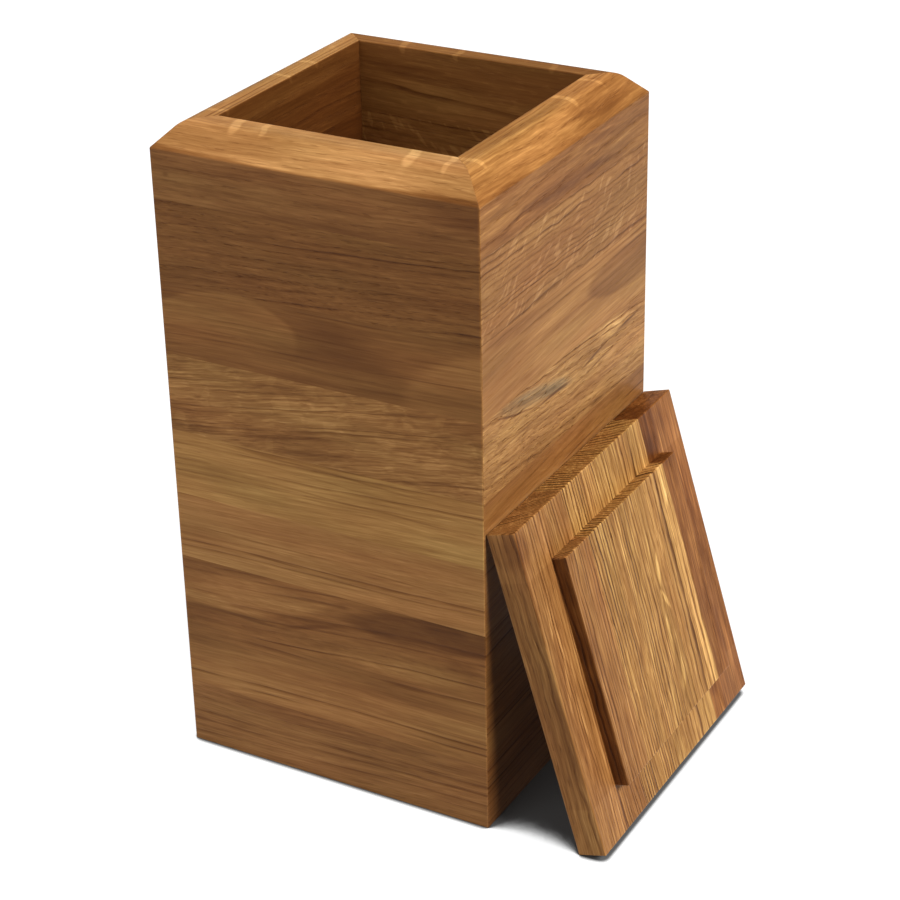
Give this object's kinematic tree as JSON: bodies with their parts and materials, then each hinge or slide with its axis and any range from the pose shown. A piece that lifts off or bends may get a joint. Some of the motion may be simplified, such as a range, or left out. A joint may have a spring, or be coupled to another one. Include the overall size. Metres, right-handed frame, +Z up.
{
  "type": "lidded storage canister",
  "caption": "Tall square oiled-oak storage canister with mitred corners and a chamfered rim; its loose square lid, with a raised plug, leans against one side.",
  "frame": {"origin": "middle of the canister's underside, on the surface it stands on", "axes": "+Z up, -Y out of the plain front wall, +X out of the wall that the lid leans on"},
  "size_m": [0.205, 0.15, 0.2915],
  "materials": {
    "oak_pale": "oiled oak, satin, fine open grain",
    "oak_honey": "oiled oak, satin, fine open grain",
    "oak_brown": "oiled oak, satin, fine open grain",
    "oak_dark": "oiled oak, satin, fine open grain",
    "oak_red": "oiled oak, satin, fine open grain"
  },
  "bodies": {
    "canister": {"front_stave_1": "oak_brown", "front_stave_2": "oak_honey", "front_stave_3": "oak_brown", "front_stave_4": "oak_honey", "front_stave_5": "oak_honey", "front_stave_6": "oak_honey", "front_stave_7": "oak_dark", "front_stave_8": "oak_dark", "front_stave_9": "oak_honey", "right_stave_1": "oak_dark", "right_stave_2": "oak_brown", "right_stave_3": "oak_brown", "right_stave_4": "oak_brown", "right_stave_5": "oak_honey", "right_stave_6": "oak_pale", "right_stave_7": "oak_honey", "right_stave_8": "oak_red", "right_stave_9": "oak_honey", "back_stave_1": "oak_brown", "back_stave_2": "oak_dark", "back_stave_3": "oak_honey", "back_stave_4": "oak_red", "back_stave_5": "oak_honey", "back_stave_6": "oak_brown", "back_stave_7": "oak_honey", "back_stave_8": "oak_brown", "back_stave_9": "oak_honey", "left_stave_1": "oak_honey", "left_stave_2": "oak_brown", "left_stave_3": "oak_brown", "left_stave_4": "oak_honey", "left_stave_5": "oak_dark", "left_stave_6": "oak_honey", "left_stave_7": "oak_pale", "left_stave_8": "oak_brown", "left_stave_9": "oak_honey", "bottom_board_1": "oak_brown", "bottom_board_2": "oak_honey", "bottom_board_3": "oak_brown"},
    "lid": {"lid_board_1": "oak_honey", "lid_board_2": "oak_honey", "lid_board_3": "oak_pale", "lid_board_4": "oak_red"}
  },
  "joints": [
    {"name": "lid_draw_away", "type": "slide", "parent": "canister", "child": "lid", "axis": [0.959, 0, 0.2834], "range_m": [0, 0.15]}
  ]
}
